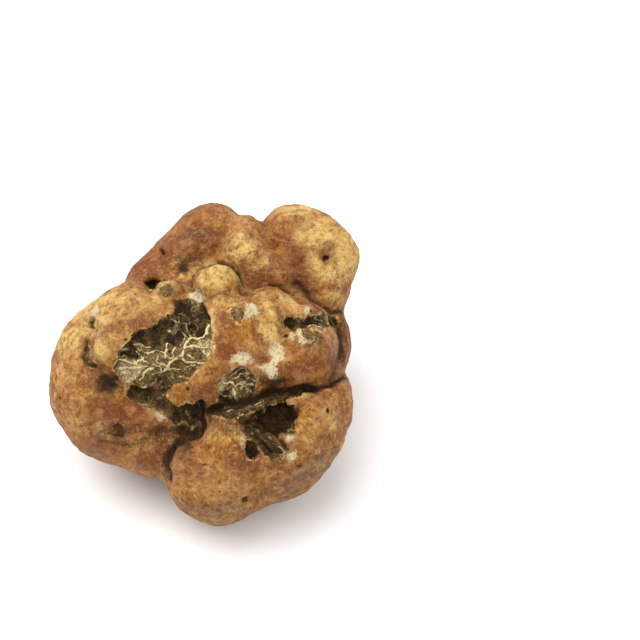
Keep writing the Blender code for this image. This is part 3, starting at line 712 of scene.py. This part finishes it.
class Nodes:
    """Adds nodes to a material and joins them up."""

    def __init__(self, material):
        material.use_nodes = True
        self.tree = material.node_tree
        self.shader = self.tree.nodes["Principled BSDF"]

    def put(self, value, socket):
        """Links an output to the socket, or sets the socket to a plain value."""
        if isinstance(value, bpy.types.NodeSocket):
            self.tree.links.new(value, socket)
        else:
            socket.default_value = value

    def weight(self, name):
        node = self.tree.nodes.new("ShaderNodeAttribute")
        node.attribute_name = name
        return node.outputs["Fac"]

    def calc(self, operation, first, second=0.0):
        node = self.tree.nodes.new("ShaderNodeMath")
        node.operation = operation
        self.put(first, node.inputs[0])
        self.put(second, node.inputs[1])
        return node.outputs[0]

    def times(self, first, second):
        return self.calc("MULTIPLY", first, second)

    def swing(self, value, reach):
        """How far a value is above or below a half, made larger by a reach."""
        return self.times(self.calc("SUBTRACT", value, 0.5), reach)

    def off_middle(self, value):
        """How far a value is from a half."""
        return self.calc("ABSOLUTE", self.calc("SUBTRACT", value, 0.5))

    def step(self, low, high, value):
        """0 below low, 1 above high and a smooth change between them."""
        node = self.tree.nodes.new("ShaderNodeMapRange")
        node.interpolation_type = "SMOOTHSTEP"
        self.put(value, node.inputs["Value"])
        self.put(low, node.inputs["From Min"])
        self.put(high, node.inputs["From Max"])
        return node.outputs["Result"]

    def below(self, low, high, value):
        """1 below low and 0 above high."""
        return self.calc("SUBTRACT", 1.0, self.step(low, high, value))

    def places(self, shift=(0, 0, 0)):
        """Positions on the truffle in millimetres, moved by a shift that gives other patterns."""
        coordinates = self.tree.nodes.new("ShaderNodeTexCoord")
        node = self.tree.nodes.new("ShaderNodeMapping")
        self.put(coordinates.outputs["Object"], node.inputs["Vector"])
        node.inputs["Scale"].default_value = [1 / MM] * 3
        node.inputs["Location"].default_value = shift
        return node.outputs["Vector"]

    def noise(self, places, wavelength, detail, roughness, distortion=0.0):
        node = self.tree.nodes.new("ShaderNodeTexNoise")
        self.put(places, node.inputs["Vector"])
        node.inputs["Scale"].default_value = 1 / wavelength
        node.inputs["Detail"].default_value = detail
        node.inputs["Roughness"].default_value = roughness
        node.inputs["Distortion"].default_value = distortion
        return node.outputs["Fac"]

    def cells(self, places, wavelength):
        """Distance to the nearest of many strewn points, in wavelengths."""
        node = self.tree.nodes.new("ShaderNodeTexVoronoi")
        self.put(places, node.inputs["Vector"])
        node.inputs["Scale"].default_value = 1 / wavelength
        return node.outputs["Distance"]

    def mix(self, below, above, share):
        """One colour over another by a share, through the colour sockets of a Mix node."""
        node = self.tree.nodes.new("ShaderNodeMix")
        node.data_type = "RGBA"
        self.put(share, node.inputs[0])
        self.put(below, node.inputs[6])
        self.put(above, node.inputs[7])
        return node.outputs[2]

    def layered(self, ground, *layers):
        """The ground with tints laid over it in turn, each by the product of its shares."""
        for tint, *shares in layers:
            ground = self.mix(ground, tint, reduce(self.times, shares))
        return ground

    def bump(self, height, depth, below=None):
        """Relief of that depth in millimetres, on top of the relief below."""
        node = self.tree.nodes.new("ShaderNodeBump")
        node.inputs["Distance"].default_value = depth * MM
        self.put(height, node.inputs["Height"])
        if below:
            self.put(below, node.inputs["Normal"])
        return node.outputs["Normal"]


# How much darker the skin is than its display colour, because the light whitens the floor
SHADE = 0.59


def linear(value):
    """The amount of light that shows as a display value of 0 to 255."""
    share = value / 255
    return share / 12.92 if share < 0.04 else ((share + 0.055) / 1.055) ** 2.4


def colour(red, green, blue, shade=SHADE):
    """The linear colour that shows as this display colour in the studio's light."""
    return (*[shade * linear(value) for value in (red, green, blue)], 1)


OCHRE = colour(214, 152, 92)
GOLD = colour(244, 186, 102, 0.64)
TAN = colour(176, 110, 58)
AMBER = colour(194, 126, 28)
RUST = colour(128, 58, 8)
PLUM = colour(154, 88, 56)
CREAM = colour(255, 214, 130, 0.66)
SCUFF = colour(240, 226, 182, 0.74)
GREY = colour(152, 128, 100)
OLIVE = colour(92, 68, 36)
# Nearly black, for specks, pores and dark stains, and for the shade painted in clefts and hollows
MARK_AND_SHADE_BLACK = colour(38, 22, 8)
# Dark brown for the shade painted in folds and hollows, and within the dark stains
SHADE_AND_STAIN_BROWN = colour(78, 42, 18)
FLESH = colour(122, 88, 44)
RED_FLESH = colour(80, 44, 20)
FLESH_TAN = colour(172, 134, 76)
FLESH_DARK = colour(44, 29, 12)
VEIN = colour(248, 226, 166, 0.8)
# Depth in mm of the material's own relief: the grain and wrinkles of the skin, and the veins
GRAIN, WRINKLE, RIDGE = 0.28, 0.55, 0.12


class TruffleNodes(Nodes):
    """The truffle's nodes, with the places and noises that several layers share."""

    def __init__(self, material):
        super().__init__(material)
        self.here = self.places()
        self.elsewhere = self.places((37, 11, 53))
        self.broad = self.noise(self.here, 6.0, 4.0, 0.6)
        self.blotches = self.noise(self.here, 2.2, 5.0, 0.65)
        self.middling = self.noise(self.here, 1.4, 4.0, 0.65)
        self.small = self.noise(self.here, 0.9, 4.0, 0.65)
        self.fine = self.noise(self.here, 0.42, 5.0, 0.65)
        self.ragged = self.calc("ADD", self.times(self.fine, 0.5), self.times(self.middling, 0.5))

    def uneven(self, name, mottle, reach, low, high):
        """A mark's weight with its edge broken up by noise."""
        return self.step(low, high, self.calc("ADD", self.weight(name), self.swing(mottle, reach)))

    def fibres(self, places, wavelength, lines, width):
        """Thin curved lines that wander side by side over the surface."""
        field = self.noise(places, wavelength, 2.0, 0.5, 2.2)
        rings = self.calc("FRACT", self.times(field, lines))
        return self.below(0.0, width, self.off_middle(rings))


def hidden_stains(nodes, skin):
    """Rusty and creamy areas by chance on the side that carries no placed marks."""
    hidden = nodes.weight("hidden")
    for wavelength, tint, most in ((5.0, RUST, 0.8), (6.3, CREAM, 0.75), (4.1, PLUM, 0.6)):
        area = nodes.step(0.5, 0.66, nodes.noise(nodes.elsewhere, wavelength, 5.0, 0.6))
        skin = nodes.layered(skin, (tint, hidden, area, most))
    return skin


def stained(nodes, skin):
    """The skin with its soft stains, some partly painted shade and highlights, each broken up in its own
    way.
    """
    for name, tint, mottle, reach, most in (
        ("amber", AMBER, nodes.blotches, 1.0, 0.85),
        ("plum", PLUM, nodes.blotches, 1.0, 0.9),
        # Rusty areas, partly painted shade
        ("rust_and_shade", RUST, nodes.blotches, 1.5, 0.85),
        # Cream patches, partly painted highlights
        ("cream_and_highlight", CREAM, nodes.blotches, 1.1, 0.95),
        ("grey", GREY, nodes.small, 1.1, 0.75),
        # Olive-brown stains, partly painted shade
        ("olive_and_shade", OLIVE, nodes.small, 1.6, 0.8),
    ):
        skin = nodes.layered(skin, (tint, nodes.uneven(name, mottle, reach, 0.15, 0.9), most))
    return skin


def speckled(nodes, skin):
    """The skin with clouds, flecks, threads, grain, specks and pores, fewer pale ones in the stains."""
    stain = nodes.times(nodes.calc("ADD", nodes.weight("plum"), nodes.weight("rust_and_shade")), 0.36)
    calm = nodes.calc("MAXIMUM", nodes.calc("SUBTRACT", 0.52, stain), 0.0)
    clouds = nodes.noise(nodes.elsewhere, 3.4, 3.0, 0.5, 0.8)
    flecks = nodes.noise(nodes.elsewhere, 1.5, 5.0, 0.7)
    grain = nodes.noise(nodes.elsewhere, 0.35, 3.0, 0.6)
    dark_threads = nodes.fibres(nodes.elsewhere, 4.2, 11.0, 0.16)
    threads = nodes.times(nodes.fibres(nodes.here, 4.8, 11.0, 0.12), nodes.step(0.45, 0.6, nodes.fine))
    pores = nodes.below(0.08, 0.18, nodes.cells(nodes.here, 1.15))
    return nodes.layered(
        skin,
        (AMBER, nodes.step(0.5, 0.64, clouds), 0.5),
        (PLUM, nodes.below(0.38, 0.5, clouds), 0.5),
        (GOLD, nodes.step(0.5, 0.64, flecks), calm),
        (RUST, nodes.below(0.36, 0.5, flecks), 0.5),
        (RUST, nodes.step(0.54, 0.66, nodes.small), 0.55),
        (OCHRE, nodes.step(0.5, 0.64, nodes.blotches), stain, 1.3),
        (CREAM, nodes.below(0.36, 0.45, nodes.small), calm, 0.7),
        (RUST, dark_threads, nodes.step(0.42, 0.6, nodes.small), 0.55),
        (CREAM, threads, calm, 0.7),
        (OCHRE, threads, stain, 1.2),
        (OLIVE, nodes.step(0.55, 0.66, grain), 0.3),
        (CREAM, nodes.below(0.36, 0.46, grain), calm, 0.4),
        (MARK_AND_SHADE_BLACK, nodes.step(0.6, 0.68, nodes.fine), nodes.step(0.5, 0.6, nodes.broad), 0.65),
        (MARK_AND_SHADE_BLACK, pores, nodes.step(0.46, 0.54, nodes.small), 0.7),
    )


def skin_colour(nodes):
    """Ochre skin with amber, rusty, creamy and grey areas, painted shade and highlights among them,
    speckled and pored.
    """
    skin = nodes.mix(OCHRE, TAN, nodes.step(0.42, 0.6, nodes.broad))
    return speckled(nodes, stained(nodes, hidden_stains(nodes, skin)))


def flesh_colour(nodes):
    """Brown flesh, nearly black where it is deep and tan where it is pale, with threads."""
    lumps = nodes.noise(nodes.here, 1.1, 4.0, 0.65)
    pale = nodes.calc("ADD", nodes.weight("pale"), nodes.swing(lumps, 2.0))
    threads = nodes.times(nodes.fibres(nodes.here, 2.0, 9.0, 0.28), nodes.step(0.35, 0.55, nodes.fine))
    return nodes.layered(
        FLESH_DARK,
        (FLESH, nodes.step(-0.05, 0.35, pale)),
        (FLESH_TAN, nodes.step(0.4, 0.75, pale)),
        (VEIN, nodes.step(0.7, 1.0, pale)),
        (FLESH_TAN, threads, nodes.step(-0.3, 0.5, pale)),
        (RED_FLESH, nodes.uneven("rust_and_shade", lumps, 2.5, 0.4, 1.1), 0.75),
        (FLESH_DARK, nodes.step(0.5, 0.64, nodes.fine), 0.75),
    )


def veined(nodes, flesh):
    """The flesh with pale veins that wander through it, and how much of each place is vein."""
    width = nodes.calc("MAXIMUM", nodes.times(nodes.weight("pale"), 0.11), 0.002)
    wandering = nodes.off_middle(nodes.noise(nodes.here, 1.5, 1.5, 0.5, 1.2))
    line = nodes.below(nodes.times(width, 0.3), width, wandering)
    small_veins = nodes.times(line, nodes.step(0.38, 0.55, nodes.fine))
    middle = nodes.uneven("vein", nodes.fine, 1.6, 0.35, 0.7)
    flesh = nodes.layered(
        flesh,
        (VEIN, small_veins, 0.6),
        (FLESH_TAN, nodes.uneven("vein", nodes.fine, 0.8, 0.1, 0.6), 0.7),
        (VEIN, middle, 0.95),
    )
    return flesh, nodes.calc("MAXIMUM", small_veins, middle)


def stain_and_shade_colour(nodes):
    """The nearly black brown of dark stains and of the shade painted in clefts and hollows, with paler
    threads.
    """
    threads = nodes.fibres(nodes.here, 3.0, 10.0, 0.25)
    return nodes.layered(
        MARK_AND_SHADE_BLACK,
        (SHADE_AND_STAIN_BROWN, nodes.step(0.45, 0.6, nodes.middling), 0.8),
        (FLESH, threads, nodes.step(0.45, 0.6, nodes.fine), 0.6),
    )


def truffle_material():
    """The skin, the bared flesh, and the shade painted in the clefts and folds, with their gloss and fine
    relief.
    """
    material = bpy.data.materials.new("truffle_skin")
    nodes = TruffleNodes(material)
    stain = stain_and_shade_colour(nodes)
    rubbed = nodes.layered(SCUFF, (FLESH_TAN, nodes.step(0.49, 0.62, nodes.middling), 0.5))
    scuff = nodes.uneven("scuff", nodes.ragged, 2.6, 0.38, 0.6)
    torn_edge = nodes.uneven("flesh", nodes.ragged, 1.2, 0.3, 0.5)
    bare = nodes.uneven("flesh", nodes.ragged, 1.2, 0.45, 0.55)
    flesh, veins_seen = veined(nodes, flesh_colour(nodes))
    everything = nodes.layered(
        skin_colour(nodes),
        # Painted shade in the hollows between the lobes
        (SHADE_AND_STAIN_BROWN, nodes.uneven("fold", nodes.middling, 0.8, 0.25, 1.0), 0.75),
        (rubbed, scuff, nodes.below(0.52, 0.68, nodes.fine), 0.9),
        # Dark stains and holes, and painted shadow in some hollows
        (stain, nodes.uneven("dark_stain_and_shade", nodes.ragged, 2.2, 0.3, 0.8), 0.95),
        (CREAM, torn_edge, nodes.step(0.46, 0.58, nodes.middling)),
        (flesh, bare),
        # Painted shade in the clefts and creases, olive at its edge and nearly black in the middle
        (OLIVE, nodes.uneven("cleft", nodes.ragged, 2.2, 0.1, 0.6), 0.75),
        (stain, nodes.uneven("cleft", nodes.ragged, 2.2, 0.45, 0.85), 0.95),
    )
    nodes.put(everything, nodes.shader.inputs["Base Color"])
    gloss = nodes.calc("ADD", nodes.times(nodes.fine, 0.3), 0.5)
    nodes.put(gloss, nodes.shader.inputs["Roughness"])
    nodes.shader.inputs["Specular IOR Level"].default_value = 0.15
    grain = nodes.bump(nodes.fine, GRAIN)
    wrinkle = nodes.bump(nodes.middling, WRINKLE, grain)
    ridge = nodes.bump(nodes.times(veins_seen, bare), RIDGE, wrinkle)
    nodes.put(ridge, nodes.shader.inputs["Normal"])
    return material


def make_truffle(node):
    """The finer piece that stands for the CAD node."""
    piece = fine_copy(node)
    tighten(piece.data)
    subdivide(piece.data)
    store(piece.data, carve(piece.data))
    piece.data.materials.clear()
    piece.data.materials.append(truffle_material())
    piece.data.shade_smooth()
    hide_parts("truffle")
    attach(piece, "root")


# The studio, in millimetres: the floor's half width and how far it lies under the truffle, what the
# lights aim at, and each light's place, size and power in watts; and how bright the sky is
FLOOR_HALF = 3000
FLOOR_DROP = 0.1
AIM = (0, 0, 15)
LIGHTS = {"key": ((-280, 130, 680), 1000, 8.0), "fill": ((450, -350, 500), 500, 1.2)}
SKY = 0.85
# The camera's lens and sensor width in millimetres
LENS, SENSOR = 120, 36


def make_floor():
    """A wide, pale, matt floor just under the truffle."""
    mesh = bpy.data.meshes.new("floor")
    half = FLOOR_HALF * MM
    corners = [(-half, -half, 0), (half, -half, 0), (half, half, 0), (-half, half, 0)]
    mesh.from_pydata(corners, [], [(0, 1, 2, 3)])
    floor = new_object("floor", mesh)
    floor.location.z = -FLOOR_DROP * MM
    material = bpy.data.materials.new("floor")
    nodes = Nodes(material)
    nodes.shader.inputs["Base Color"].default_value = (0.9, 0.9, 0.9, 1)
    nodes.shader.inputs["Roughness"].default_value = 0.8
    mesh.materials.append(material)


def make_light(name, place, size, power):
    """A soft square light that looks at the truffle."""
    light = bpy.data.lights.new(name, "AREA")
    light.size = size * MM
    light.energy = power
    lamp = new_object(name, light)
    lamp.location = Vector(place) * MM
    towards = Vector(AIM) * MM - lamp.location
    lamp.rotation_euler = towards.to_track_quat("-Z", "Y").to_euler()


def make_surroundings():
    """A pale floor, two soft lights and an even white sky."""
    make_floor()
    for name, light in LIGHTS.items():
        make_light(name, *light)
    world = bpy.data.worlds.new("studio")
    world.use_nodes = True
    world.node_tree.nodes["Background"].inputs["Color"].default_value = (1, 1, 1, 1)
    world.node_tree.nodes["Background"].inputs["Strength"].default_value = SKY
    bpy.context.scene.world = world
    bpy.context.scene.view_settings.view_transform = "Standard"


def make_camera():
    """A camera at EYE that looks along the viewer's sight."""
    camera = bpy.data.cameras.new("camera")
    camera.lens = LENS
    camera.sensor_width = SENSOR
    camera.clip_start = 0.01
    holder = new_object("camera", camera)
    axes = Matrix([RIGHT.tolist(), UP.tolist(), OUT.tolist()]).transposed()
    holder.matrix_world = Matrix.Translation(Vector((EYE * MM).tolist())) @ axes.to_4x4()
    bpy.context.scene.camera = holder


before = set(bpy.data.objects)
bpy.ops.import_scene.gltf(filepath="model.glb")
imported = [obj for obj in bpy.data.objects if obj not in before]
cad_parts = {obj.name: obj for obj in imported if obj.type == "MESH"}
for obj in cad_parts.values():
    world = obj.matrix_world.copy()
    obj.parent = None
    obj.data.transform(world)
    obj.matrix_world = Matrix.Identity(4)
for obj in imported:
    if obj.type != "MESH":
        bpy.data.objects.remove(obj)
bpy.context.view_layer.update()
make_truffle(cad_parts["truffle"])
make_surroundings()
make_camera()
